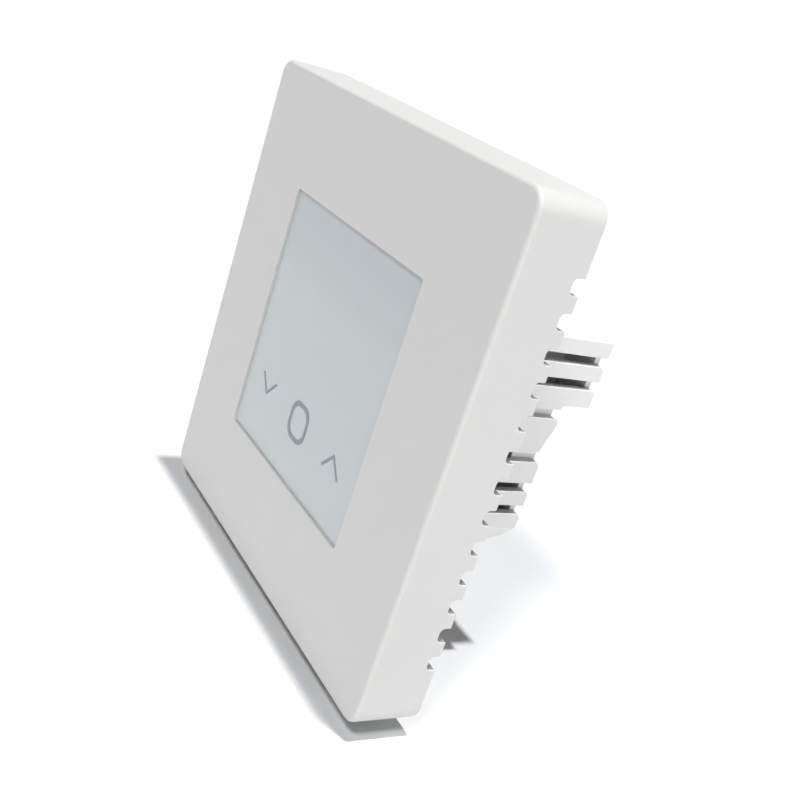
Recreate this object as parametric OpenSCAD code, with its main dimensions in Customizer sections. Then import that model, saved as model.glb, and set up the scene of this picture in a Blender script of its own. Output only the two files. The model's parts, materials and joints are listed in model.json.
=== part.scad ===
// Flush wall thermostat: a snap-on touch front over a vented box that goes into a 60 mm wall box.
// Millimetres. X to the right, Z up, Y into the wall; the wall's surface is the plane y = 0.

/* [Front cover] */
// Width and height of the square front cover
face_w = 86; // [84:0.5:96]
// Depth of the cover, from the wall to its front face
cover_depth = 11.7; // [11.4:0.1:15]
// Wall thickness of the cover's sides
cover_wall = 2; // [1.6:0.1:2.4]
// Thickness of the cover's front
cover_front = 2; // [1.6:0.1:2.4]
// Radius of the cover's corners, seen from the front
cover_corner = 3; // [2.5:0.5:5]
// Radius of the soft edge around the front
cover_edge = 0.7; // [0.3:0.1:1.4]

/* [Window] */
// Width and height of the square window
window_w = 46.5; // [44:0.5:50]
// Corner radius of the window
window_corner = 0.6; // [0.3:0.1:1.2]
// How far the lens sits below the front face
window_sink = 0.5; // [0.2:0.1:0.8]
// Thickness of the lens
lens_t = 1.5; // [1:0.1:1.8]
// Width of the ledge that the lens is glued to
ledge_w = 1.3; // [0.8:0.1:2]
// Thickness of that ledge
ledge_t = 1; // [0.6:0.1:1.2]

/* [Edge vents] */
// Number of notches along the left and the right of the cover's rear edge
notch_count = 13; // [5:2:13]
// Distance from one notch to the next
notch_pitch = 5.2; // [4.6:0.1:5.6]
// Width of a notch
notch_w = 2.6; // [2:0.1:3]
// Depth of a notch
notch_depth = 1.8; // [1.2:0.1:2]
// Corner radius at the bottom of a notch
notch_round = 0.9; // [0.4:0.1:1]

/* [Touch keys and display] */
// Distance between neighbouring touch keys
key_pitch = 14.2; // [12:0.2:16]
// Height of the row of keys, from the middle of the cover
key_z = -12.2; // [-15:0.1:-11.5]
// Size of the ring on the middle key
ring_w = 7.1; // [5:0.1:8]
// Width of an arrow on an outer key
arrow_w = 6.6; // [4:0.1:7]
// Height of an arrow
arrow_h = 3.8; // [2.5:0.1:4]
// Line width of the printed marks
mark_line = 0.85; // [0.5:0.05:1]
// Thickness of the printed ink
mark_t = 0.05; // [0.03:0.01:0.1]
// Height of a display digit
digit_h = 14; // [10:0.5:15]
// Width of a display digit
digit_w = 7.4; // [6:0.2:8]
// Thickness of the diffuser film
film_t = 0.25; // [0.15:0.05:0.4]
// Wire diameter of a touch spring
spring_wire = 0.5; // [0.4:0.05:0.7]
// Widest radius of a touch spring
spring_r = 3; // [2.4:0.1:3.4]

/* [Display board and carrier] */
// Thickness of both circuit boards
board_t = 1.6; // [1.2:0.1:1.6]
// Distance from the window's side to the posts that grip the display board
post_from_window = 3.75; // [3.4:0.05:4.2]
// Distance from those posts to the display board's side
post_inset = 3; // [2.6:0.1:3.4]
// Gap between the carrier plate and the cover's sides
carrier_edge_gap = 3; // [2.5:0.1:3.5]
// Thickness of the carrier plate
carrier_t = 1.2; // [1:0.1:1.4]
// Distance from the carrier plate's sides to each of its screws
carrier_screw_inset = 3.5; // [3.2:0.1:4]

/* [Mounting plate] */
// Gap between the mounting plate and the cover's sides
plate_edge_gap = 2; // [1.5:0.1:3]
// Thickness of the mounting plate
plate_t = 2; // [1.8:0.1:2.4]
// Gap between the mounting plate and the carrier
plate_gap = 0.4; // [0.3:0.1:0.6]
// Distance between the two wall box screws
box_screw_spacing = 60; // [60:0.1:60.5]
// Width of a wall box screw slot
box_slot_w = 4.2; // [3.6:0.1:4.6]
// Length of a wall box screw slot
box_slot_len = 8; // [6:0.5:9]

/* [Rear box] */
// Width and height of the rear box across its flats
box_w = 48; // [44:0.5:49]
// Diameter that rounds the rear box's corners
box_d = 60; // [59:0.5:61]
// Wall thickness of the rear box
box_wall = 1.6; // [1.4:0.1:1.8]
// Depth behind the wall of the deep upper half
deep_y = 29; // [28.8:0.1:32]
// Depth behind the wall of the shallow lower half
shallow_y = 23; // [22.8:0.1:25]
// Height of the step between the two halves
step_z = 5.9; // [5.6:0.1:6.1]
// Width of a side slot
slot_w = 1.6; // [1.2:0.1:1.8]
// Where the side slots begin behind the wall
slot_y = 14; // [12:0.5:16]
// Height of the slots beside the latch tongue
tongue_slot_z = 4.2; // [4:0.1:4.3]
// Height of the middle slots
mid_slot_z = 10; // [9:0.1:11]
// Height of the outer slots
outer_slot_z = 14.4; // [13.5:0.1:15]
// Depth of the latch tongue at its high corner
tongue_high_y = 23.6; // [23.4:0.1:24.4]
// Depth of the latch tongue at its low corner
tongue_low_y = 22; // [21.9:0.1:22.6]
// Radius of the ribs' upper rear corners
rib_round = 1; // [0.4:0.1:1.2]

/* [Closing plate] */
// Thickness of the closing plate
lid_t = 1.2; // [1:0.1:1.5]
// How far the closing plate sits inside the ribs' tips
lid_sink = 0.1; // [0:0.1:0.5]
// Diameter of a screwdriver hole
driver_hole_d = 4.2; // [3.6:0.1:4.6]

/* [Power board] */
// Gap between the wall plane and the power board
board_gap = 3; // [2.8:0.1:3.2]
// Height of the upper board screws
board_screw_high = 3.4; // [3.2:0.1:3.5]
// Height of the lower board screws
board_screw_low = -14.6; // [-14.7:0.1:-14.4]

/* [Terminals] */
// Number of terminals
ways = 6; // [2:1:6]
// Distance from one terminal to the next
way_pitch = 5.08; // [5.08:0.01:5.1]
// Height of the terminal block above the board
terminal_h = 16.6; // [15.3:0.1:16.8]
// Radius of a wire entry
entry_r = 1.8; // [1.5:0.1:1.9]
// Thread diameter of a terminal screw
terminal_screw_d = 2.8; // [2.6:0.1:3]
// Head diameter of a terminal screw
terminal_head_d = 3.8; // [3.7:0.1:3.9]
// Travel of a rising clamp
clamp_lift = 3.3; // [2.8:0.1:3.3]

/* [Relay] */
// Length of the relay
relay_l = 21; // [19:0.5:22.5]
// Gap between the relay and the walls above and below it
relay_side_gap = 0.3; // [0.2:0.05:0.5]
// Gap between the relay and the closing plate behind it
relay_rear_gap = 2.3; // [0.4:0.1:2.6]
// Wall thickness of the relay's cover
relay_wall = 0.8; // [0.6:0.1:0.9]
// Gap between the open armature and the pole
armature_gap = 0.6; // [0.55:0.05:0.7]

/* [Hidden] */
$fn = 48;
over = 1; // how far a cutter runs past what it cuts
fit = 0.1; // gap between pieces that are assembled and stay still

// Depths of the front's layers, from the face towards the wall
front_y = -cover_depth;
inside_y = front_y + cover_front;
lens_front_y = front_y + window_sink;
lens_rear_y = lens_front_y + lens_t;
film_rear_y = lens_rear_y + film_t;
carrier_rear_y = -plate_t - plate_gap;
carrier_front_y = carrier_rear_y - carrier_t;
post_h = 1.4;
post_r = 2;
post_x = window_w / 2 + post_from_window;
post_z = 15;
display_board_w = 2 * (post_x + post_inset);
board_corner = 9;
display_rear_y = carrier_front_y - post_h;
display_front_y = display_rear_y - board_t;
inner_w = face_w - 2 * cover_wall;
inner_corner = max(cover_corner - cover_wall, 0.5);
carrier_w = inner_w - 2 * carrier_edge_gap;
carrier_screw_at = carrier_w / 2 - carrier_screw_inset;
plate_w = inner_w - 2 * plate_edge_gap;
plate_corner = 3;

// Carrier screws and the cups that sink their heads
screw_bite_r = 0.95;
pilot_r = screw_bite_r + 0.05;
screw_pass_r = screw_bite_r + 0.25;
carrier_head_r = 2;
carrier_head_h = 1.4;
cup_r = 3.6;
cup_hole_r = carrier_head_r + 0.4;
cup_seat_y = carrier_rear_y - carrier_head_h - 0.2;
cup_front_y = cup_seat_y - carrier_t;
boss_r = 2.8;

// Display digits and the reflector block around them
digit_count = 3;
digit_gap = 3.4;
digit_bar = 1.3;
digit_z = 6.2;
reflector_w = digit_count * digit_w + (digit_count + 1) * digit_gap;
reflector_h = digit_h + 4;

// Touch springs: a conical coil swept as one tube
spring_turns = 3;
spring_steps = 16;
spring_sides = 8;

// Arms that locate the front on the mounting plate
arm_x = 14;
arm_z = carrier_w / 2 - 1.6;
arm_w = 5;
arm_t = 1.4;
arm_gap = 0.3;
arm_end_y = -0.3;

// Power board, its bosses and the connector in front of it
board_front_y = board_gap;
board_rear_y = board_gap + board_t;
board_edge_gap = 0.4;
board_half = box_w / 2 - box_wall - board_edge_gap;
board_boss_r = 2.5;
board_head_r = 1.9;
board_head_h = 1.3;
pin_pitch = 2.54;
pin_cols = 5;
pin_rows = 2;
pin_w = 0.64;
pin_hole_w = 1;
header_z = -1;
pin_bar_h = 2.5;
socket_h = board_front_y + plate_t - 0.2;
socket_front_y = board_front_y - socket_h;
socket_floor = 0.4;
pin_tip_y = board_front_y - socket_floor - 0.2;
header_l = pin_cols * pin_pitch;
header_w = pin_rows * pin_pitch;
header_gap = 0.7;

// Closing plate levels
deep_out_y = deep_y - lid_sink;
deep_in_y = deep_out_y - lid_t;
shallow_out_y = shallow_y - lid_sink;
shallow_in_y = shallow_out_y - lid_t;
tongue_half = tongue_slot_z - slot_w / 2;
lug_t = 1.4;
lug_reach = 4;
lug_half = tongue_slot_z + 1;
brace_reach = 7;
hook_reach = 0.9;
hook_y = shallow_in_y - 2.4;

// Terminals
block_side = 0.35;
block_w = ways * way_pitch + 2 * block_side;
board_screw_x = (block_w / 2 + board_half) / 2;
block_reach = min(box_w / 2, sqrt(box_d * box_d - block_w * block_w) / 2);
block_front_z = fit - block_reach;
block_d = 10;
block_front_wall = 1.6;
block_floor = 1;
way_depth = 5;
way_z = block_front_z + way_depth;
block_rear_y = board_rear_y + terminal_h;
chamber_w = 4.4;
chamber_d = 7.3;
chamber_front_z = block_front_z + block_front_wall;
chamber_rear_z = chamber_front_z + chamber_d;
chamber_y = board_rear_y + block_floor;
clamp_gap = 0.1;
clamp_rest_gap = 0.3;
clamp_stop_gap = 0.2;
clamp_wall = 0.7;
clamp_side = 0.5;
clamp_top = 1.3;
clamp_w = chamber_w - 2 * clamp_gap;
clamp_y = chamber_y + clamp_rest_gap;
clamp_floor_y = clamp_y + clamp_wall;
bar_t = 0.9;
bar_w = 2.4;
bar_y = clamp_floor_y + 2 * entry_r + 0.5;
bar_leg_z = chamber_rear_z - fit - bar_t;
clamp_open_y = bar_y + bar_t + 0.4;
clamp_end_y = clamp_open_y + clamp_top;
chamber_end_y = clamp_end_y + clamp_lift + clamp_stop_gap;
entry_y = (clamp_floor_y + bar_y) / 2;
head_gap = 0.2;
head_y = chamber_end_y + head_gap;
head_h = 2.1;
head_slot = 0.8;
head_ring_gap = 0.15;
retain_y = head_y + head_h + head_gap;
retain_r = terminal_head_d / 2 - 0.2;

// Relay
relay_y = board_rear_y;
relay_z = step_z + lid_t + relay_side_gap;
relay_top_z = box_w / 2 - box_wall - relay_side_gap;
relay_w = relay_top_z - relay_z;
relay_h = deep_in_y - relay_rear_gap - relay_y;
corner_gap = 0.24;
box_round_in = box_d / 2 - box_wall;
relay_end_x = min(sqrt(box_round_in * box_round_in - relay_top_z * relay_top_z), relay_top_z)
    - corner_gap;
relay_x = relay_end_x - relay_l;
relay_mid_z = relay_z + relay_w / 2;
relay_base_t = 2.2;
iron_t = 1.4;
iron_w = 9;
coil_r = 3.8;
coil_tube_r = 2.8;
core_r = 2;
core_gap = 0.1;
flange_rim = 0.1;
flange_side_gap = 0.65;
flange_w = 2 * (coil_r + flange_rim);
flange_l = relay_w - 2 * (relay_wall + flange_side_gap);
flange_t = 0.8;
yoke_gap = 0.2;
coil_gap = 0.9;
yoke_x = relay_end_x - relay_wall - iron_t - yoke_gap;
coil_x = yoke_x - flange_w / 2 - coil_gap;
yoke_foot_y = relay_y + relay_base_t;
bobbin_y = yoke_foot_y + iron_t;
armature_room = 5.4; // from the pole to the relay's rear, for the armature and its spring
pole_y = relay_y + relay_h - armature_room;
pole_t = 1;
pole_r = 3.4;
bobbin_end_y = pole_y - pole_t;
armature_y = pole_y + armature_gap;
armature_t = 1.2;
pivot_x = yoke_x + iron_t / 2;
pivot_r = 0.5;
blade_w = 5;
blade_t = 0.3;
contact_inset = 5.2;
contact_x = relay_x + contact_inset;
contact_r = 1.3;
contact_gap = 0.8;
contact_edge = 0.3;
spring_y = armature_y + armature_t;
rivet_t = 0.9;

// Power supply parts: where they stand on the board and their sizes
transformer_at = [-3.5, -4.5];
core_size = [13, 12, 6];
core_leg = 3;
core_yoke = 2.2;
core_lift = 1;
winding_rim = 2.5; // how far the winding stands out above and below the core
x_capacitor_inset = 1.8;
x_capacitor_at = [-box_w / 2 + box_wall + x_capacitor_inset, -12];
x_capacitor_size = [6, 12, 13];
rectifier_gap = 0.8;
rectifier_x = x_capacitor_at[0] + x_capacitor_size[0] + rectifier_gap;
parts_gap = 0.6;
large_can_r = 4;
large_can_h = 16;
large_can_x = relay_x - parts_gap - large_can_r;
small_can_r = 3.15;
small_can_h = 11;
small_can_x = large_can_x - large_can_r - parts_gap - small_can_r;
small_can_reach = box_round_in - parts_gap - small_can_r;
small_can_z = min(12, sqrt(small_can_reach * small_can_reach - small_can_x * small_can_x));
lone_can_inset = 1.65;
lone_can_x = board_half - lone_can_inset - small_can_r;
// Each smoothing capacitor: where it stands, its radius and its height
capacitors = [[large_can_x, 14.6, large_can_r, large_can_h],
    [small_can_x, small_can_z, small_can_r, small_can_h],
    [lone_can_x, -8.4, small_can_r, small_can_h]];
// Each chip: the place of its middle and its size
chips = [[[-16, 6], [7, 7]], [[14, 8], [5, 6.2]], [[0, 18], [4, 5]]];

// ---- helpers ----

// A flat outline in (x, z), given thickness from depth a to depth b
module along_y(a, b) {
    translate([0, b, 0])
        rotate([90, 0, 0])
            linear_extrude(b - a)
                children();
}

// A flat outline in (y, z), given thickness from x = a to x = b
module along_x(a, b) {
    translate([a, 0, 0])
        rotate([90, 0, 90])
            linear_extrude(b - a)
                children();
}

// A round bar parallel to Y
module bar_y_at(x, z, r, a, b) {
    translate([x, b, z])
        rotate([90, 0, 0])
            cylinder(h = b - a, r = r);
}

// A block from one corner to the opposite one
module block(low, high) {
    translate(low)
        cube(high - low);
}

module rounded(w, h, r) {
    square([w, h - 2 * r], center = true);
    square([w - 2 * r, h], center = true);
    for (x = [-1, 1], z = [-1, 1])
        translate([x * (w / 2 - r), z * (h / 2 - r)])
            circle(r);
}

module slot_outline(len, w) {
    square([len - w, w], center = true);
    for (x = [-1, 1])
        translate([x * (len - w) / 2, 0])
            circle(d = w);
}

// Outline of the rear box, drawn smaller by inset all round
module box_outline(inset) {
    intersection() {
        square(box_w - 2 * inset, center = true);
        circle(d = box_d - 2 * inset, $fn = 120);
    }
}

// The four corners at one distance from the middle
module at_corners(d) {
    for (x = [-1, 1], z = [-1, 1])
        translate([x * d, 0, z * d])
            children();
}

// The four posts that grip the display board
module at_posts() {
    for (x = [-1, 1], z = [-1, 1])
        translate([x * post_x, 0, z * post_z])
            children();
}

function way_x(i) = (i - (ways + 1) / 2) * way_pitch;

// ---- front ----

module cover_post() {
    rotate([90, 0, 0])
        rotate_extrude($fn = 32) {
            square([cover_corner, cover_depth - cover_edge]);
            square([cover_corner - cover_edge, cover_depth]);
            translate([cover_corner - cover_edge, cover_depth - cover_edge])
                intersection() {
                    circle(cover_edge);
                    square(cover_edge);
                }
        }
}

module cover_body() {
    hull()
        at_corners(face_w / 2 - cover_corner)
            cover_post();
}

module notch_row() {
    span = (notch_count - 1) / 2;
    for (i = [-span : span])
        translate([over / 2 - notch_depth / 2, i * notch_pitch])
            rounded(notch_depth + over, notch_w, min(notch_round, notch_w / 2 - 0.01));
}

// The notches of both sides: the same cut goes through the left wall and the right one
module edge_vents() {
    along_x(-face_w / 2 - over, face_w / 2 + over)
        notch_row();
}

module front_cover() {
    ledge_wall = 1.2;
    pilot_front_y = inside_y + 0.7;
    color([0.93, 0.93, 0.92])
    difference() {
        union() {
            difference() {
                cover_body();
                along_y(inside_y, over)
                    rounded(inner_w, inner_w, inner_corner);
            }
            along_y(lens_front_y, lens_rear_y + ledge_t)
                square(window_w + 2 * ledge_wall, center = true);
            at_corners(carrier_screw_at)
                bar_y_at(0, 0, boss_r, inside_y - over / 2, cup_front_y);
            at_posts()
                bar_y_at(0, 0, post_r, inside_y - over / 2, display_front_y);
        }
        along_y(front_y - over, lens_rear_y)
            rounded(window_w, window_w, window_corner);
        along_y(front_y - over, over)
            square(window_w - 2 * ledge_w, center = true);
        at_corners(carrier_screw_at)
            bar_y_at(0, 0, pilot_r, pilot_front_y, cup_front_y + over);
        edge_vents();
    }
}

module window_lens() {
    color([0.86, 0.89, 0.92])
        along_y(lens_front_y, lens_rear_y)
            rounded(window_w - 2 * fit, window_w - 2 * fit, window_corner - fit);
}

// An arrow head: two strokes that meet at the top
module arrow() {
    half = arrow_w / 2;
    rise = mark_line * sqrt(half * half + arrow_h * arrow_h) / half;
    top = arrow_h / 2;
    polygon([[-half, -top], [0, top - rise + mark_line], [half, -top],
        [half - mark_line * 0.7, -top - mark_line * 0.2], [0, top - rise],
        [-half + mark_line * 0.7, -top - mark_line * 0.2]]);
}

module key_marks() {
    color([0.5, 0.53, 0.57])
        along_y(lens_front_y - mark_t, lens_front_y)
            translate([0, key_z]) {
                translate([-key_pitch, 0])
                    rotate(180)
                        arrow();
                difference() {
                    rounded(ring_w, ring_w, ring_w * 0.36);
                    rounded(ring_w - 2 * mark_line, ring_w - 2 * mark_line,
                        ring_w * 0.36 - mark_line * 0.6);
                }
                translate([key_pitch, 0])
                    arrow();
            }
}

// One bar of a digit, pointed at both ends
module digit_segment(len) {
    h = digit_bar / 2;
    polygon([[-len / 2, 0], [-len / 2 + h, h], [len / 2 - h, h], [len / 2, 0],
        [len / 2 - h, -h], [-len / 2 + h, -h]]);
}

// Places its child at the middle of each bar of every digit
module at_segments() {
    for (d = [0 : digit_count - 1])
        translate([(d - (digit_count - 1) / 2) * (digit_w + digit_gap), digit_z]) {
            for (z = [-1, 0, 1])
                translate([0, z * (digit_h - digit_bar) / 2])
                    children(0);
            for (x = [-1, 1], z = [-1, 1])
                translate([x * (digit_w - digit_bar) / 2, z * (digit_h - digit_bar) / 4])
                    rotate(90)
                        children(1);
        }
}

module diffuser_film() {
    color([0.95, 0.95, 0.93])
        along_y(lens_rear_y, film_rear_y)
            translate([0, digit_z])
                square([reflector_w, reflector_h], center = true);
}

module digit_reflector() {
    inset = 0.3;
    color([0.9, 0.9, 0.9])
        along_y(film_rear_y, display_front_y)
            difference() {
                translate([0, digit_z])
                    square([reflector_w, reflector_h], center = true);
                at_segments() {
                    digit_segment(digit_w - digit_bar - inset);
                    digit_segment((digit_h - digit_bar) / 2 - inset);
                }
            }
}

module display_leds() {
    led = [1.6, 0.8];
    led_h = 0.6;
    color([0.97, 0.93, 0.7])
        along_y(display_front_y - led_h, display_front_y)
            at_segments() {
                square(led, center = true);
                square(led, center = true);
            }
}

function spring_radius(t) = spring_r * (1 - 0.3 * t);
function spring_point(t, a, low, high) =
    let (turn = 360 * spring_turns * t,
        r = spring_radius(t) + spring_wire / 2 * cos(a))
    [r * cos(turn), low + (high - low) * t + spring_wire / 2 * sin(a), r * sin(turn)];

module touch_spring(low, high) {
    rings = spring_turns * spring_steps;
    points = [for (i = [0 : rings], k = [0 : spring_sides - 1])
        spring_point(i / rings, 360 * k / spring_sides, low, high)];
    sides = [for (i = [0 : rings - 1], k = [0 : spring_sides - 1])
        let (next = (k + 1) % spring_sides, a = i * spring_sides, b = a + spring_sides)
        [a + k, b + k, b + next, a + next]];
    ends = [[for (k = [0 : spring_sides - 1]) k],
        [for (k = [spring_sides - 1 : -1 : 0]) rings * spring_sides + k]];
    polyhedron(points, concat(sides, ends), convexity = 6);
}

module touch_springs() {
    low = display_front_y - spring_wire / 2;
    high = lens_rear_y + spring_wire / 2;
    color([0.85, 0.82, 0.6])
        for (i = [-1 : 1])
            translate([i * key_pitch, 0, key_z])
                touch_spring(low, high);
}

module display_board() {
    color([0.13, 0.33, 0.2])
        along_y(display_front_y, display_rear_y)
            rounded(display_board_w, display_board_w, board_corner);
}

module control_chips() {
    chip_h = 1;
    color([0.12, 0.12, 0.13])
        along_y(display_rear_y, display_rear_y + chip_h)
            for (chip = chips)
                translate(chip[0])
                    square(chip[1], center = true);
}

module room_sensor() {
    bead_x = 20;
    bead_drop = 3;
    bead_z = -display_board_w / 2 - bead_drop;
    bead_r = 1.2;
    bead_y = display_rear_y - bead_r / 3;
    lead_end_z = -display_board_w / 2 + 3;
    lead_r = 0.25;
    lead_at = bead_r / 2;
    color([0.1, 0.1, 0.1]) {
        translate([bead_x, bead_y, bead_z])
            sphere(bead_r);
        for (x = [-lead_at, lead_at])
            translate([bead_x + x, display_rear_y + lead_r, bead_z])
                cylinder(h = lead_end_z - bead_z, r = lead_r);
    }
}

module at_pins() {
    for (c = [0 : pin_cols - 1], r = [0 : pin_rows - 1])
        translate([(c - (pin_cols - 1) / 2) * pin_pitch,
            header_z + (r - (pin_rows - 1) / 2) * pin_pitch])
            children();
}

module header_bar() {
    color([0.15, 0.15, 0.16])
        along_y(display_rear_y, display_rear_y + pin_bar_h)
            difference() {
                translate([0, header_z])
                    square([header_l, header_w], center = true);
                at_pins()
                    square(pin_w, center = true);
            }
}

module header_pins() {
    color([0.85, 0.72, 0.35])
        along_y(display_rear_y, pin_tip_y)
            at_pins()
                square(pin_w, center = true);
}

module front_carrier() {
    window_l = 13;
    window_h = 10;
    color([0.9, 0.9, 0.89])
    difference() {
        union() {
            along_y(carrier_front_y, carrier_rear_y)
                rounded(carrier_w, carrier_w, plate_corner);
            at_corners(carrier_screw_at)
                bar_y_at(0, 0, cup_r, cup_front_y, carrier_rear_y);
            at_posts()
                bar_y_at(0, 0, post_r, display_rear_y, carrier_front_y + fit);
            for (x = [-1, 1], z = [-1, 1])
                along_y(carrier_rear_y - fit, arm_end_y)
                    translate([x * arm_x, z * arm_z])
                        square([arm_w, arm_t], center = true);
        }
        at_corners(carrier_screw_at) {
            bar_y_at(0, 0, cup_hole_r, cup_seat_y, carrier_rear_y + over);
            bar_y_at(0, 0, screw_pass_r, cup_front_y - over, carrier_rear_y);
        }
        along_y(carrier_front_y - over, carrier_rear_y + over) {
            for (x = [-1, 1])
                translate([x * box_screw_spacing / 2, 0])
                    square([window_l, window_h], center = true);
            translate([0, header_z])
                square([header_l + 2 * header_gap, header_w + 2 * header_gap], center = true);
        }
    }
}

module small_screw(head_r, head_h, bite, head_y0) {
    recess = 0.6;
    difference() {
        union() {
            bar_y_at(0, 0, head_r, head_y0, head_y0 + head_h);
            bar_y_at(0, 0, screw_bite_r, head_y0 - bite, head_y0 + head_h / 2);
        }
        along_y(head_y0 + head_h - recess, head_y0 + head_h + over)
            for (a = [0, 90])
                rotate(a)
                    square([head_r * 1.2, 0.5], center = true);
    }
}

module carrier_screws() {
    bite = cup_seat_y - inside_y - 1;
    color([0.7, 0.7, 0.72])
        at_corners(carrier_screw_at)
            small_screw(carrier_head_r, carrier_head_h, bite, cup_seat_y);
}

// ---- rear box ----

// Depth of the latch tongue's curved end at height z
function tongue_end(z) =
    let (round_r = 1.2, t = (z + tongue_half) / (2 * tongue_half),
        out = max(0, abs(z) - (tongue_half - round_r)))
    tongue_low_y + (tongue_high_y - tongue_low_y) * (1 - cos(180 * t)) / 2
        - (round_r - sqrt(max(0, round_r * round_r - out * out)));

module tongue_outline() {
    steps = 24;
    polygon(concat(
        [for (i = [0 : steps])
            let (z = tongue_half * (2 * i / steps - 1)) [tongue_end(z), z]],
        [[slot_y - over, tongue_half], [slot_y - over, -tongue_half]]));
}

// What is cut away behind the shallow half, with a fillet under the step
module step_cut() {
    fillet = step_z - tongue_slot_z - slot_w / 2;
    below = -box_d / 2 - over;
    polygon(concat(
        [[shallow_y, below]],
        [for (a = [180 : -10 : 90])
            [shallow_y + fillet * (1 + cos(a)), step_z + fillet * (sin(a) - 1)]],
        [[deep_y + over, step_z], [deep_y + over, below]]));
}

// Material outside a corner of radius rib_round that ends at (y, z)
module corner_cut(y, z) {
    translate([y - rib_round, z - rib_round])
        difference() {
            square(rib_round + over);
            circle(rib_round);
        }
}

module side_slots() {
    for (z = [-1, 1], c = [tongue_slot_z, mid_slot_z, outer_slot_z])
        translate([slot_y, z * c - slot_w / 2])
            square([deep_y, slot_w]);
    translate([slot_y + over, -tongue_half - fit])
        square([deep_y, 2 * (tongue_half + fit)]);
    for (z = [outer_slot_z, mid_slot_z])
        rib_corner(deep_y, z - slot_w / 2);
    for (z = [tongue_slot_z, mid_slot_z, outer_slot_z])
        rib_corner(shallow_y, -z - slot_w / 2);
}

// A rounded upper corner at the rear end of a rib, open towards the slot above it
module rib_corner(y, z) {
    intersection() {
        corner_cut(y, z);
        translate([y - rib_round, z - rib_round])
            square([rib_round + over, rib_round + fit]);
    }
}

module tongues() {
    for (s = [0, 1])
        mirror([s, 0, 0]) {
            along_x(box_w / 2 - box_wall, box_w / 2)
                tongue_outline();
            along_y(hook_y, hook_y + hook_reach)
                translate([box_w / 2 - box_wall - hook_reach, -tongue_half / 2])
                    square([hook_reach + fit, tongue_half]);
        }
}

module board_supports() {
    pad = [6, 2.6];
    pad_x = 9;
    along_y(-fit, board_front_y)
        for (x = [-1, 1])
            translate([x * pad_x - pad[0] / 2, box_w / 2 - box_wall - pad[1]])
                square([pad[0], pad[1] + fit]);
    at_board_screws()
        bar_y_at(0, 0, board_boss_r, -fit, board_front_y);
}

module at_board_screws() {
    for (x = [-1, 1], z = [board_screw_low, board_screw_high])
        translate([x * board_screw_x, 0, z])
            children();
}

module base_housing() {
    recess_w = 8.6;
    recess_y = -plate_t / 2;
    screw_end_y = -plate_t / 2;
    color([0.94, 0.94, 0.93])
    difference() {
        union() {
            along_y(-plate_t, 0)
                rounded(plate_w, plate_w, plate_corner);
            difference() {
                along_y(-fit, deep_y)
                    difference() {
                        box_outline(0);
                        box_outline(box_wall);
                    }
                along_x(-box_w, box_w)
                    step_cut();
                along_x(box_w / 2 - box_wall - over, box_w / 2 + over)
                    side_slots();
                along_x(-box_w / 2 - over, -box_w / 2 + box_wall + over)
                    side_slots();
            }
            tongues();
            board_supports();
        }
        along_y(-plate_t - over, over)
            for (x = [-1, 1])
                translate([x * box_screw_spacing / 2, 0])
                    slot_outline(box_slot_len, box_slot_w);
        along_y(-plate_t - over, recess_y)
            for (x = [-1, 1])
                translate([x * box_screw_spacing / 2, 0])
                    slot_outline(box_slot_len - box_slot_w + recess_w, recess_w);
        along_y(-plate_t - over, over) {
            translate([0, header_z])
                square([header_l + 2 * header_gap, header_w + 2 * header_gap], center = true);
            for (x = [-1, 1], z = [-1, 1])
                translate([x * arm_x, z * arm_z])
                    square([arm_w + 2 * arm_gap, arm_t + 2 * arm_gap], center = true);
        }
        at_board_screws()
            bar_y_at(0, 0, pilot_r, screw_end_y, board_front_y + over);
        along_y(board_rear_y - fit, deep_y + over)
            translate([0, block_front_z])
                square([block_w + 2 * fit, 2 * box_wall + over], center = true);
    }
}

// A lug behind a latch tongue, with a window for the tongue's hook and a brace along its upper edge
module latch_lug() {
    outer_x = box_w / 2 - box_wall - fit;
    difference() {
        union() {
            block([outer_x - lug_t, shallow_in_y - lug_reach, -lug_half],
                [outer_x, shallow_out_y, lug_half]);
            block([outer_x - lug_t, shallow_in_y - brace_reach, tongue_half],
                [outer_x, shallow_out_y, lug_half]);
        }
        block([outer_x - lug_t - over, hook_y - fit, -tongue_half / 2 - fit],
            [outer_x + over, hook_y + hook_reach + fit, tongue_half / 2 + fit]);
    }
}

module closing_plate() {
    vent_len = 11;
    vent_pitch = 6;
    big = box_d;
    color([0.94, 0.94, 0.93])
    difference() {
        union() {
            intersection() {
                along_y(shallow_in_y, shallow_out_y)
                    box_outline(box_wall + fit);
                block([-big, 0, -big], [big, big, step_z + lid_t]);
            }
            intersection() {
                along_y(deep_in_y, deep_out_y)
                    box_outline(box_wall + fit);
                block([-big, 0, step_z + fit], [big, big, big]);
            }
            intersection() {
                along_y(shallow_in_y, deep_out_y)
                    box_outline(box_wall + fit);
                block([-big, 0, step_z + fit], [big, big, step_z + lid_t]);
            }
            for (s = [0, 1])
                mirror([s, 0, 0])
                    latch_lug();
        }
        for (i = [1 : ways])
            bar_y_at(way_x(i), way_z, driver_hole_d / 2, shallow_in_y - over, shallow_out_y + over);
        along_y(deep_in_y - over, deep_out_y + over)
            for (i = [-2 : 2])
                translate([i * vent_pitch, (step_z + box_w / 2) / 2])
                    rotate(90)
                        slot_outline(vent_len, slot_w);
    }
}

// ---- power board and what stands on it ----

module power_board() {
    color([0.16, 0.36, 0.22])
    difference() {
        along_y(board_front_y, board_rear_y)
            box_outline(box_wall + board_edge_gap);
        at_board_screws()
            bar_y_at(0, 0, screw_pass_r, board_front_y - over, board_rear_y + over);
    }
}

module board_screws() {
    color([0.7, 0.7, 0.72])
        at_board_screws()
            small_screw(board_head_r, board_head_h, board_t + board_gap, board_rear_y);
}

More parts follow.
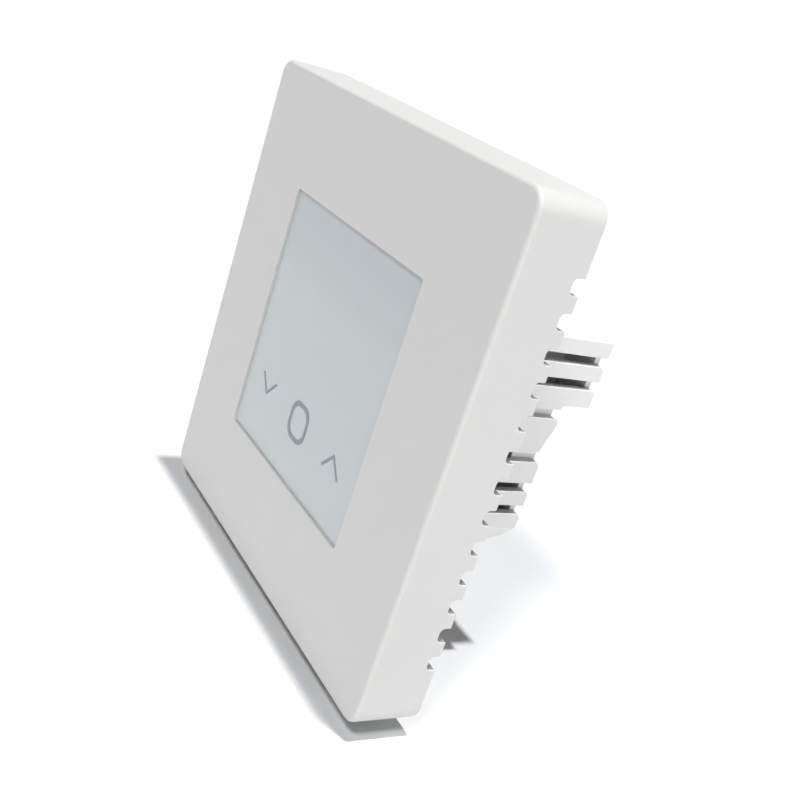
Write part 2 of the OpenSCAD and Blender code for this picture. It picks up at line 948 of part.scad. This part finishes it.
module header_socket() {
    color([0.13, 0.13, 0.14])
    difference() {
        along_y(socket_front_y, board_front_y)
            translate([0, header_z])
                square([header_l + 0.3, header_w + 0.3], center = true);
        along_y(socket_front_y - over, board_front_y - socket_floor)
            at_pins()
                square(pin_hole_w, center = true);
    }
}

module terminal_housing() {
    color([0.17, 0.18, 0.19])
    difference() {
        block([-block_w / 2, board_rear_y, block_front_z],
            [block_w / 2, block_rear_y, block_front_z + block_d]);
        for (i = [1 : ways])
            translate([way_x(i), 0, 0]) {
                block([-chamber_w / 2, chamber_y, chamber_front_z],
                    [chamber_w / 2, chamber_end_y, chamber_rear_z]);
                bar_y_at(0, way_z, terminal_head_d / 2 + head_ring_gap, chamber_end_y - over, retain_y);
                bar_y_at(0, way_z, retain_r, retain_y - over, block_rear_y + over);
                translate([0, entry_y, block_front_z - over])
                    cylinder(h = chamber_front_z - block_front_z + 2 * over, r = entry_r);
                block([-bar_w / 2 - fit, board_rear_y - over, bar_leg_z - fit],
                    [bar_w / 2 + fit, chamber_y + over, bar_leg_z + bar_t + fit]);
            }
    }
}

module current_bars() {
    color([0.8, 0.78, 0.7])
        for (i = [1 : ways])
            translate([way_x(i), 0, 0]) {
                block([-bar_w / 2, bar_y, chamber_front_z + 1],
                    [bar_w / 2, bar_y + bar_t, bar_leg_z + bar_t]);
                block([-bar_w / 2, board_rear_y, bar_leg_z],
                    [bar_w / 2, bar_y + bar_t, bar_leg_z + bar_t]);
            }
}

module terminal_screw(i) {
    color([0.78, 0.78, 0.8])
    translate([way_x(i), 0, 0])
    difference() {
        union() {
            bar_y_at(0, way_z, terminal_head_d / 2, head_y, head_y + head_h);
            bar_y_at(0, way_z, terminal_screw_d / 2, bar_y + bar_t + fit, head_y + head_h / 2);
        }
        along_y(head_y + head_h - head_slot, head_y + head_h + over)
            translate([0, way_z])
                square([terminal_head_d + over, head_slot], center = true);
    }
}

module terminal_clamp(i) {
    low_z = chamber_front_z + clamp_rest_gap;
    high_z = bar_leg_z - clamp_rest_gap;
    thread_gap = 0.05;
    thread_r = terminal_screw_d / 2 + thread_gap;
    color([0.75, 0.7, 0.5])
    translate([way_x(i), 0, 0])
    difference() {
        block([-clamp_w / 2, clamp_y, low_z], [clamp_w / 2, clamp_end_y, high_z]);
        block([-clamp_w / 2 + clamp_side, clamp_floor_y, low_z - over],
            [clamp_w / 2 - clamp_side, clamp_open_y, high_z + over]);
        bar_y_at(0, way_z, thread_r, clamp_open_y - over, clamp_end_y + over);
    }
}

// ---- relay ----

module relay_base() {
    color([0.1, 0.1, 0.11])
        block([relay_x + relay_wall + fit, relay_y, relay_z + relay_wall + fit],
            [relay_x + relay_l - relay_wall - fit, relay_y + relay_base_t,
                relay_z + relay_w - relay_wall - fit]);
}

module relay_cover() {
    color([0.09, 0.09, 0.1])
    difference() {
        block([relay_x, relay_y, relay_z], [relay_x + relay_l, relay_y + relay_h, relay_z + relay_w]);
        block([relay_x + relay_wall, relay_y - over, relay_z + relay_wall],
            [relay_x + relay_l - relay_wall, relay_y + relay_h - relay_wall,
                relay_z + relay_w - relay_wall]);
    }
}

module relay_bobbin() {
    color([0.2, 0.2, 0.21])
    difference() {
        union() {
            for (y = [bobbin_y, bobbin_end_y - flange_t])
                along_y(y, y + flange_t)
                    translate([coil_x, relay_mid_z])
                        square([flange_w, flange_l], center = true);
            bar_y_at(coil_x, relay_mid_z, coil_tube_r, bobbin_y, bobbin_end_y);
        }
        bar_y_at(coil_x, relay_mid_z, core_r + core_gap, bobbin_y - over, bobbin_end_y + over);
    }
}

module relay_winding() {
    color([0.72, 0.38, 0.2])
    difference() {
        bar_y_at(coil_x, relay_mid_z, coil_r, bobbin_y + flange_t, bobbin_end_y - flange_t);
        bar_y_at(coil_x, relay_mid_z, coil_tube_r, bobbin_y, bobbin_end_y);
    }
}

module relay_core() {
    color([0.62, 0.62, 0.64]) {
        bar_y_at(coil_x, relay_mid_z, core_r, yoke_foot_y + iron_t, pole_y - pole_t / 2);
        bar_y_at(coil_x, relay_mid_z, pole_r, pole_y - pole_t, pole_y);
    }
}

// The yoke: an upright leg with a groove that the armature rocks in, and a foot under the coil
module relay_yoke() {
    slack = 0.05;
    color([0.6, 0.6, 0.62])
    difference() {
        union() {
            block([yoke_x, yoke_foot_y, relay_mid_z - iron_w / 2],
                [yoke_x + iron_t, armature_y - slack, relay_mid_z + iron_w / 2]);
            block([coil_x - coil_r, yoke_foot_y, relay_mid_z - iron_w / 2],
                [yoke_x + fit, yoke_foot_y + iron_t, relay_mid_z + iron_w / 2]);
        }
        pivot_bar(pivot_r + slack, iron_w + 2 * over);
    }
}

// The round edge that the armature rocks on
module pivot_bar(r, len) {
    translate([pivot_x, armature_y, relay_mid_z - len / 2])
        cylinder(h = len, r = r);
}

module relay_contact() {
    rivet_end_y = spring_y - rivet_t - contact_gap;
    leg_x = relay_x + relay_wall + 0.4;
    color([0.8, 0.5, 0.3]) {
        block([leg_x, relay_y + relay_base_t, relay_mid_z - blade_w / 2],
            [leg_x + blade_t, rivet_end_y - rivet_t, relay_mid_z + blade_w / 2]);
        block([leg_x, rivet_end_y - rivet_t - blade_t, relay_mid_z - blade_w / 2],
            [contact_x + contact_r + contact_edge, rivet_end_y - rivet_t,
                relay_mid_z + blade_w / 2]);
        bar_y_at(contact_x, relay_mid_z, contact_r, rivet_end_y - rivet_t - fit, rivet_end_y);
    }
}

module relay_armature() {
    color([0.62, 0.62, 0.64]) {
        block([coil_x - pole_r - 1.2, armature_y, relay_mid_z - iron_w / 2],
            [yoke_x + iron_t - fit, armature_y + armature_t, relay_mid_z + iron_w / 2]);
        pivot_bar(pivot_r, iron_w);
    }
}

module relay_spring() {
    color([0.82, 0.52, 0.3]) {
        block([contact_x - contact_r - contact_edge, spring_y, relay_mid_z - blade_w / 2],
            [yoke_x - 1, spring_y + blade_t, relay_mid_z + blade_w / 2]);
        bar_y_at(contact_x, relay_mid_z, contact_r, spring_y - rivet_t, spring_y + fit);
    }
}

// ---- power supply ----

module transformer_core() {
    half = core_size[0] / 2;
    low = board_rear_y + core_lift;
    high = low + core_size[1];
    color([0.2, 0.2, 0.21])
    translate([transformer_at[0], 0, transformer_at[1]])
    difference() {
        block([-half, low, -core_size[2] / 2], [half, high, core_size[2] / 2]);
        for (s = [0, 1])
            mirror([s, 0, 0])
                block([core_leg / 2, low + core_yoke, -core_size[2]],
                    [half - core_leg / 2, high - core_yoke, core_size[2]]);
    }
}

module transformer_winding() {
    low = board_rear_y + core_lift + core_yoke;
    high = low + core_size[1] - 2 * core_yoke;
    width = core_size[0] - core_leg - 2 * fit;
    depth = core_size[2] + 2 * winding_rim;
    pin = 0.8;
    color([0.9, 0.75, 0.2])
    translate([transformer_at[0], 0, transformer_at[1]]) {
        difference() {
            along_y(low + fit, high - fit)
                rounded(width, depth, 1.5);
            along_y(low, high)
                square([core_leg + 2 * fit, core_size[2] + 2 * fit], center = true);
        }
        for (x = [-1, 1], z = [-1, 1])
            along_y(board_rear_y, low + 2 * fit)
                translate([x * 3, z * (core_size[2] / 2 + 1)])
                    square(pin, center = true);
    }
}

module x_capacitor() {
    low = [x_capacitor_at[0], board_rear_y, x_capacitor_at[1]];
    high = low + x_capacitor_size;
    lip = 0.6;
    color([0.85, 0.7, 0.15])
    difference() {
        block(low, high);
        block([low[0] + lip, low[1] - over, low[2] + lip],
            [high[0] - lip, low[1] + lip, high[2] - lip]);
    }
}

module smoothing_capacitors() {
    crimp = 0.3;
    crimp_h = 1.6;
    color([0.16, 0.17, 0.22])
        for (c = capacitors)
            translate([c[0], 0, c[1]]) {
                bar_y_at(0, 0, c[2] - crimp, board_rear_y, board_rear_y + crimp_h + fit);
                bar_y_at(0, 0, c[2], board_rear_y + crimp_h, board_rear_y + c[3]);
            }
}

module varistor() {
    disc_r = 4.5;
    disc_t = 3.6;
    disc_x = 6.6;
    disc_z = -4.6;
    disc_lift = 1.4;
    lead_r = 0.4;
    lead_z = 2.5;
    lead_bite = 2.5;
    middle_y = board_rear_y + disc_lift + disc_r;
    color([0.15, 0.3, 0.6]) {
        translate([disc_x, middle_y, disc_z])
            rotate([0, 90, 0])
                cylinder(h = disc_t, r = disc_r);
        for (z = [-1, 1])
            bar_y_at(disc_x + disc_t / 2, disc_z + z * lead_z, lead_r,
                board_rear_y, middle_y - disc_r + lead_bite);
    }
}

module fuse_resistor() {
    body_r = 1.7;
    body_l = 9;
    body_lift = 0.7;
    middle_x = 8.6;
    body_y = board_rear_y + body_lift + body_r;
    body_z = 2.6;
    lead_r = 0.35;
    reach = 1.2;
    color([0.45, 0.6, 0.5])
    translate([middle_x, 0, body_z]) {
        translate([0, body_y, 0])
            rotate([0, 90, 0]) {
                cylinder(h = body_l, r = body_r, center = true);
                cylinder(h = body_l + 2 * reach, r = lead_r, center = true);
            }
        for (x = [-1, 1])
            bar_y_at(x * (body_l / 2 + reach), 0, lead_r, board_rear_y, body_y + lead_r);
    }
}

module rectifier() {
    low = [rectifier_x, board_rear_y, 0.2];
    size = [4.8, 2.5, 3.9];
    lift = [0, 0.3, 0];
    lead = [0.6, 0.9, 0.8];
    color([0.1, 0.1, 0.1]) {
        block(low + lift, low + size);
        for (x = [0.5, size[0] - 1.1], z = [-lead[2] + fit, size[2] - fit])
            block(low + [x, 0, z], low + [x, 0, z] + lead);
    }
}

front_cover();
window_lens();
key_marks();
diffuser_film();
digit_reflector();
display_leds();
touch_springs();
display_board();
control_chips();
room_sensor();
header_bar();
header_pins();
front_carrier();
carrier_screws();
base_housing();
closing_plate();
power_board();
board_screws();
header_socket();
terminal_housing();
current_bars();
relay_base();
relay_cover();
relay_bobbin();
relay_winding();
relay_core();
relay_yoke();
relay_contact();
relay_armature();
relay_spring();
transformer_core();
transformer_winding();
x_capacitor();
smoothing_capacitors();
varistor();
fuse_resistor();
rectifier();
for (i = [1 : ways]) {
    terminal_screw(i);
    terminal_clamp(i);
}
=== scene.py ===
"""Looks of a flush wall thermostat: a snap-on touch front over a vented box that sinks into the wall.

Metres, in the CAD model's own frame: X to the right, Z up, Y into the wall, the wall's surface at y = 0.
"""

import json
import math

import bmesh
import bpy
from mathutils import Matrix, Vector


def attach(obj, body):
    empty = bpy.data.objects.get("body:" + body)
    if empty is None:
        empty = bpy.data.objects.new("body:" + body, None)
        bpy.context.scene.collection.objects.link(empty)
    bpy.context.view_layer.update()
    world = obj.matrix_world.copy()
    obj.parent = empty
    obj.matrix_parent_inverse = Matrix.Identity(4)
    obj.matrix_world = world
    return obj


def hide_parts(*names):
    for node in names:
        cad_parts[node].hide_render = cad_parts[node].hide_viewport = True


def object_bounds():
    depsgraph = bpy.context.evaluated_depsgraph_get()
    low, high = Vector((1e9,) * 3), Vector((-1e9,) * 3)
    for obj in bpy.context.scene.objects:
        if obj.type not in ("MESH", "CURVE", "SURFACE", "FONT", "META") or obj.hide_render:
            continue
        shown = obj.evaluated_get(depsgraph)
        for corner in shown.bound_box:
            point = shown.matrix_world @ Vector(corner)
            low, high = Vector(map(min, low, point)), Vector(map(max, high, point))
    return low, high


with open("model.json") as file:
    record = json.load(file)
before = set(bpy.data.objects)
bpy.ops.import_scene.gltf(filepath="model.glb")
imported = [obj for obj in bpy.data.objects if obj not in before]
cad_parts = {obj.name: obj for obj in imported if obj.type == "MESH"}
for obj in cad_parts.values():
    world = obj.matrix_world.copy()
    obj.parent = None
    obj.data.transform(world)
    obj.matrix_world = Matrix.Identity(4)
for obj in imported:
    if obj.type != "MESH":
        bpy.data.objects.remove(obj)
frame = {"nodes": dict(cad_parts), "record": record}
cad_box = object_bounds()

MM = 0.001
SLOT_OF = {part["node"]: part["material_slot"] for part in frame["record"]["subparts"]}
BODY_OF = {
    node: body
    for body, nodes in frame["record"]["behaviour"]["bodies"].items()
    for node in nodes
}


# ---- shader maths ----

class Signal:
    """A value in a shader. Its operators add Math nodes, so maths is written as plain expressions."""

    def __init__(self, shading, socket):
        self.shading = shading
        self.socket = socket

    def maths(self, operation, *values):
        return self.shading.node("ShaderNodeMath", {"operation": operation}, dict(enumerate(values)))

    def __add__(self, other):
        return self.maths("ADD", self, other)

    def __sub__(self, other):
        return self.maths("SUBTRACT", self, other)

    def __rsub__(self, other):
        return self.maths("SUBTRACT", other, self)

    def __mul__(self, other):
        return self.maths("MULTIPLY", self, other)

    __radd__ = __add__
    __rmul__ = __mul__

    def above(self, edge, softness):
        """0 below the edge and 1 above it, with a soft change between."""
        return self.shading.node(
            "ShaderNodeMapRange",
            {"interpolation_type": "SMOOTHSTEP"},
            {"Value": self, "From Min": edge - softness, "From Max": edge + softness},
        )


class Shading:
    """A shader's tree of nodes, and the one way in which nodes are added to it."""

    def __init__(self, tree):
        self.tree = tree

    def node(self, kind, settings, inputs, output=0):
        """Adds a node of one kind: its settings first, then its sockets' values or links."""
        added = self.tree.nodes.new(kind)
        for key, value in settings.items():
            setattr(added, key, value)
        for key, value in inputs.items():
            self.feed(added.inputs[key], value)
        return Signal(self, added.outputs[output])

    def feed(self, socket, value):
        if isinstance(value, Signal):
            self.tree.links.new(value.socket, socket)
        else:
            socket.default_value = value


class Finish(Shading):
    """One material: a Principled shader and the textures that feed it."""

    def __init__(self, name):
        self.name = name
        self.material = bpy.data.materials.new(name)
        self.material.use_nodes = True
        super().__init__(self.material.node_tree)
        self.shader = self.tree.nodes["Principled BSDF"]
        self.place = self.node("ShaderNodeTexCoord", {}, {}, "Object")

    def shade(self, **sockets):
        """Feeds the shader's sockets: base_color stands for Base Color, and so on."""
        for name, value in sockets.items():
            self.feed(self.shader.inputs[name.replace("_", " ").title()], value)
        return self

    def noise(self, size, detail, stretch=None):
        """Cloudy variation from 0 to 1 whose lumps are about size metres across."""
        place = self.place
        if stretch:
            place = self.node("ShaderNodeMapping", {}, {"Vector": place, "Scale": stretch})
        return self.node("ShaderNodeTexNoise", {}, {"Vector": place, "Scale": 1 / size, "Detail": detail})

    def bands(self, direction, scale):
        """Waves from 0 to 1 that follow each other along one axis."""
        return self.node(
            "ShaderNodeTexWave", {"bands_direction": direction}, {"Vector": self.place, "Scale": scale}
        )

    def between(self, first, second, amount):
        """A colour that goes from first to second as amount goes from 0 to 1."""
        return self.node(
            "ShaderNodeMix",
            {"data_type": "RGBA"},
            {"Factor": amount, 6: (*first, 1), 7: (*second, 1)},
            2,
        )

    def relief(self, height, depth):
        """A bump whose full height is depth metres."""
        return self.node(
            "ShaderNodeBump", {}, {"Height": height, "Distance": depth, "Strength": 1.0}, "Normal"
        )


# ---- finishes ----

def tone(colour, factor):
    return tuple(channel * factor for channel in colour)


def moulded(name, colour, roughness, grain, depth, drift=0.03):
    """Moulded plastic: an eroded grain, cloudy gloss and a slight drift of colour."""
    f = Finish(name)
    cloud = f.noise(22 * MM, 3)
    sheen = f.noise(3 * MM, 4)
    fine = f.noise(grain, 3)
    return f.shade(
        base_color=f.between(tone(colour, 1 - drift), tone(colour, 1 + drift), cloud),
        roughness=sheen * 0.1 + (roughness - 0.05),
        normal=f.relief(fine, depth),
    )


def milky_window(name, upper, lower):
    """A smooth milky window: its colour is painted darker towards the upper end, as painted shade from the
    top of its opening, and paler towards the lower one.
    """
    f = Finish(name)
    cloud = f.noise(30 * MM, 2)
    ripple = f.noise(9 * MM, 2)
    height = f.node("ShaderNodeSeparateXYZ", {}, {"Vector": f.place}, "Z")
    # Painted shade: the colour darkens towards the upper end in place of the shadow of the opening's top
    # lip; the cloud term is random tone.
    painted_shade_fade = 1 - height.above(14 * MM, 14 * MM) * 0.75 + cloud * 0.2
    return f.shade(
        base_color=f.between(upper, lower, painted_shade_fade),
        roughness=ripple * 0.06 + 0.16,
        normal=f.relief(ripple, 0.004 * MM),
        coat_roughness=0.06,
        coat_weight=0.25,
    )


def printed_ink(name, thick, thin):
    """Screen printed ink with a slightly uneven coat."""
    f = Finish(name)
    patch = f.noise(0.5 * MM, 4)
    return f.shade(
        base_color=f.between(thick, thin, patch),
        roughness=patch * 0.15 + 0.4,
        normal=f.relief(patch, 0.004 * MM),
    )


def metal(name, colour, roughness, stretch):
    """Plated metal with fine drawn lines along one direction and dull patches."""
    f = Finish(name)
    lines = f.noise(0.25 * MM, 4, stretch)
    patch = f.noise(1.5 * MM, 3)
    return f.shade(
        base_color=f.between(tone(colour, 0.82), colour, patch),
        metallic=1.0,
        roughness=lines * 0.12 + patch * 0.1 + roughness,
        normal=f.relief(lines, 0.006 * MM),
    )


def solder_mask(name, bare, over_copper):
    """Green solder mask over tracks: straight copper runs show as a paler, raised pattern."""
    f = Finish(name)
    runs_up = f.bands("X", 160.0)
    runs_across = f.bands("Z", 110.0)
    area = f.noise(7 * MM, 1).above(0.5, 0.01)
    tracks = (runs_up * area + runs_across * (1 - area)).above(0.55, 0.05)
    return f.shade(
        base_color=f.between(bare, over_copper, tracks),
        roughness=tracks * 0.08 + 0.28,
        normal=f.relief(tracks, 0.03 * MM),
    )


def winding(name, colour, pitch, roughness):
    """Wire or tape laid in turns one above the other along the coil's axis, with painted shade darkening
    the colour in the grooves between turns.
    """
    f = Finish(name)
    turns = f.bands("Y", 0.32 / pitch)
    patch = f.noise(2 * MM, 2)
    return f.shade(
        # Painted shade: the colour falls to 0.6 of itself between the turns, standing in for shade in
        # their grooves.
        base_color=f.between(tone(colour, 0.6), colour, turns),
        roughness=patch * 0.2 + roughness,
        normal=f.relief(turns, 0.05 * MM),
    )


def resin(name, colour, roughness):
    """Dipped or cast resin: glossy, with a slow orange-peel surface."""
    f = Finish(name)
    peel = f.noise(0.9 * MM, 2)
    patch = f.noise(4 * MM, 2)
    return f.shade(
        base_color=f.between(tone(colour, 0.85), tone(colour, 1.1), patch),
        roughness=peel * 0.1 + roughness,
        normal=f.relief(peel, 0.03 * MM),
        coat_weight=0.3,
    )


def striped_sleeve(name, film, stripe):
    """Shrunk film with a pale stripe down one side of each can."""
    f = Finish(name)
    side = f.noise(3 * MM, 0, (1, 0.01, 1)).above(0.62, 0.02)
    wrinkle = f.noise(1.2 * MM, 2, (1, 0.2, 1))
    return f.shade(
        base_color=f.between(film, stripe, side),
        roughness=wrinkle * 0.15 + 0.25,
        normal=f.relief(wrinkle, 0.03 * MM),
    )


# One finish for each material slot of the model. Moulded ones give the size and depth of their grain.
FINISHES = [
    moulded("cover_plastic", (0.53, 0.534, 0.522), 0.5, 0.16 * MM, 0.006 * MM, 0.012),
    moulded("base_plastic", (0.645, 0.645, 0.64), 0.5, 0.2 * MM, 0.01 * MM, 0.015),
    # The lens's first colour is the painted shade at its upper end, the second its paler lower end.
    milky_window("lens", (0.355, 0.38, 0.40), (0.445, 0.472, 0.488)),
    printed_ink("mark_ink", (0.19, 0.205, 0.24), (0.245, 0.265, 0.305)),
    moulded("film", (0.8, 0.8, 0.78), 0.6, 0.1 * MM, 0.003 * MM),
    moulded("reflector_plastic", (0.78, 0.78, 0.77), 0.65, 0.3 * MM, 0.01 * MM),
    resin("led", (0.75, 0.62, 0.25), 0.2),
    metal("contact_metal", (0.78, 0.62, 0.36), 0.2, (1, 0.1, 1)),
    solder_mask("circuit_board", (0.012, 0.085, 0.04), (0.035, 0.17, 0.085)),
    moulded("black_plastic", (0.022, 0.022, 0.024), 0.5, 0.2 * MM, 0.01 * MM, 0.1),
    resin("sensor_bead", (0.02, 0.02, 0.022), 0.15),
    metal("screw_steel", (0.56, 0.56, 0.57), 0.25, (1, 1, 0.1)),
    moulded("terminal_plastic", (0.045, 0.048, 0.052), 0.55, 0.25 * MM, 0.012 * MM, 0.1),
    moulded("relay_case", (0.55, 0.54, 0.57), 0.4, 0.3 * MM, 0.006 * MM, 0.1),
    winding("copper_wire", (0.6, 0.2, 0.08), 0.12 * MM, 0.25),
    metal("relay_iron", (0.5, 0.5, 0.52), 0.3, (0.1, 1, 1)),
    moulded("ferrite", (0.045, 0.045, 0.048), 0.7, 0.3 * MM, 0.03 * MM, 0.2),
    winding("winding_tape", (0.75, 0.52, 0.06), 1.6 * MM, 0.3),
    moulded("capacitor_box", (0.62, 0.43, 0.06), 0.5, 0.3 * MM, 0.01 * MM, 0.05),
    striped_sleeve("capacitor_sleeve", (0.012, 0.013, 0.022), (0.25, 0.25, 0.27)),
    resin("varistor_coat", (0.03, 0.1, 0.38), 0.25),
    moulded("resistor_coat", (0.2, 0.33, 0.24), 0.7, 0.15 * MM, 0.03 * MM, 0.15),
    metal("clamp_brass", (0.66, 0.52, 0.28), 0.25, (1, 0.15, 1)),
]
MATERIAL_OF = {finish.name: finish.material for finish in FINISHES}


# ---- pieces ----

SHARP_TURN = 28  # degrees between two faces from which their edge is rounded
CREASE_TURN = 40  # and from which it stays a crease in the shading
FLAT_TURN = 0.4  # and under which the two are one flat side
SAME_POINT = 0.0005 * MM


def turn_at(edge):
    """Angle between the two faces beside an edge, in degrees."""
    return math.degrees(edge.calc_face_angle(0.0))


def solid_form(node):
    """The CAD solid of a node as an editable form, with its flat sides joined into single faces."""
    source = frame["nodes"][node]
    form = bmesh.new()
    form.from_mesh(source.data)
    form.transform(source.matrix_world)
    bmesh.ops.remove_doubles(form, verts=form.verts, dist=SAME_POINT)
    bmesh.ops.dissolve_limit(
        form,
        angle_limit=math.radians(FLAT_TURN),
        verts=form.verts,
        edges=form.edges,
        use_dissolve_boundaries=False,
    )
    return form


def round_edges(form, radius, steps):
    """Rounds every sharp edge of a form."""
    bmesh.ops.bevel(
        form,
        geom=[e for e in form.edges if len(e.link_faces) == 2 and turn_at(e) > SHARP_TURN],
        offset=radius,
        offset_type="OFFSET",
        segments=steps,
        profile=0.5,
        affect="EDGES",
        clamp_overlap=True,
    )


def finished_piece(node, name, radius, steps, widening):
    """A piece that stands for a CAD node: the same solid with every edge rounded as moulding rounds it."""
    form = solid_form(node)
    form.transform(Matrix.Diagonal((widening, 1, widening, 1)))
    round_edges(form, radius, steps)
    for face in form.faces:
        face.smooth = True
    for edge in form.edges:
        edge.smooth = turn_at(edge) < CREASE_TURN
    mesh = bpy.data.meshes.new(name)
    form.to_mesh(mesh)
    form.free()
    piece = bpy.data.objects.new(name, mesh)
    bpy.context.scene.collection.objects.link(piece)
    even_shading = piece.modifiers.new("even_shading", "WEIGHTED_NORMAL")
    even_shading.keep_sharp = True
    even_shading.weight = 80
    mesh.materials.append(MATERIAL_OF[SLOT_OF[node]])
    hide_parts(node)
    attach(piece, BODY_OF[node])


# Node: name of its piece, radius and steps of the rounding, and widening. The pane is a little wider than
# its solid, so that it fills the cover's opening and no gap shows round it.
FINISHED = {
    "front_cover": ("cover_shell", 0.22 * MM, 3, 1),
    "window_lens": ("window_pane", 0.06 * MM, 2, 1.0035),
    "base_housing": ("housing_shell", 0.25 * MM, 3, 1),
    "closing_plate": ("rear_plate", 0.2 * MM, 3, 1),
    "front_carrier": ("carrier_shell", 0.2 * MM, 3, 1),
}
for node, making in FINISHED.items():
    finished_piece(node, *making)
for node, source in frame["nodes"].items():
    if node not in FINISHED:
        source.data.materials.clear()
        source.data.materials.append(MATERIAL_OF[SLOT_OF[node]])


# ---- floor ----

FLOOR_DROP = 2.5 * MM  # from the cover's lower side to the floor
FLOOR_RADIUS = 3.0


def pale_floor(height):
    form = bmesh.new()
    bmesh.ops.create_circle(form, cap_ends=True, radius=FLOOR_RADIUS, segments=96)
    mesh = bpy.data.meshes.new("floor")
    form.to_mesh(mesh)
    form.free()
    floor = bpy.data.objects.new("floor", mesh)
    floor.location.z = height
    bpy.context.scene.collection.objects.link(floor)
    f = Finish("floor_paper")
    fibre = f.noise(2 * MM, 3)
    f.shade(
        base_color=f.between((0.63, 0.635, 0.645), (0.65, 0.655, 0.665), fibre),
        roughness=0.6,
        normal=f.relief(fibre, 0.02 * MM),
    )
    mesh.materials.append(f.material)


pale_floor(cad_box[0][2] - FLOOR_DROP)


# ---- light ----

def distant_light(name, towards, strength, spread):
    """A light too far away to fade across the floor; towards points to it, and spread is in degrees."""
    light = bpy.data.lights.new(name, "SUN")
    light.energy = strength
    light.angle = math.radians(spread)
    lamp = bpy.data.objects.new(name, light)
    bpy.context.scene.collection.objects.link(lamp)
    lamp.rotation_euler = Vector(towards).to_track_quat("Z", "Y").to_euler()


def lit_panel(name, place, target, size, power):
    """A soft panel of light near the object, aimed at a point of it and never in the picture itself."""
    light = bpy.data.lights.new(name, "AREA")
    light.shape = "RECTANGLE"
    light.size, light.size_y = size
    light.energy = power
    panel = bpy.data.objects.new(name, light)
    bpy.context.scene.collection.objects.link(panel)
    panel.location = place
    aim = Vector(target) - Vector(place)
    panel.rotation_euler = aim.to_track_quat("-Z", "Y").to_euler()
    panel.visible_camera = False


def studio_surround(strength, turns_dark, softness):
    """White light from below and around that fades out above a height on the unit sphere."""
    world = bpy.data.worlds.new("studio")
    bpy.context.scene.world = world
    world.use_nodes = True
    background = world.node_tree.nodes["Background"]
    background.inputs["Color"].default_value = (1.0, 1.0, 1.0, 1)
    sky = Shading(world.node_tree)
    direction = sky.node("ShaderNodeTexCoord", {}, {}, "Generated")
    height = sky.node("ShaderNodeSeparateXYZ", {}, {"Vector": direction}, "Z")
    sky.feed(background.inputs["Strength"], (1 - height.above(turns_dark, softness)) * strength)


distant_light("light_above", (0.07, 0.03, 0.99), strength=3.4, spread=2)
distant_light("light_front", (0.3, -0.5, 0.81), strength=2.1, spread=13)
lit_panel("panel_right", (0.3, -0.01, 0.006), (0, 0, -0.02), size=(0.25, 0.1), power=0.228)
lit_panel("panel_rear", (-0.16, 0.3, 0.14), (0, 0.02, 0), size=(0.2, 0.15), power=0.16)
studio_surround(strength=1.05, turns_dark=0.26, softness=0.16)
bpy.context.scene.view_settings.view_transform = "Standard"


# ---- camera ----

EYE = Vector((151.32, -99.85, 58.55)) * MM
AHEAD = Vector((-0.76955, 0.54747, -0.32875)).normalized()
UP = Vector((-0.43928, -0.08017, 0.89477))
SENSOR_WIDTH = 36.0
FOCAL_SHARE = 1084.2 / 800  # focal length as a share of the sensor's width

camera_data = bpy.data.cameras.new("camera")
camera_data.sensor_width = SENSOR_WIDTH
camera_data.lens = FOCAL_SHARE * SENSOR_WIDTH
camera_data.clip_start = 10 * MM
camera_data.clip_end = 20
camera = bpy.data.objects.new("camera", camera_data)
bpy.context.scene.collection.objects.link(camera)
across = AHEAD.cross(UP).normalized()
upward = across.cross(AHEAD).normalized()
turn = Matrix((across, upward, -AHEAD)).transposed().to_4x4()
camera.matrix_world = Matrix.Translation(EYE) @ turn
bpy.context.scene.camera = camera
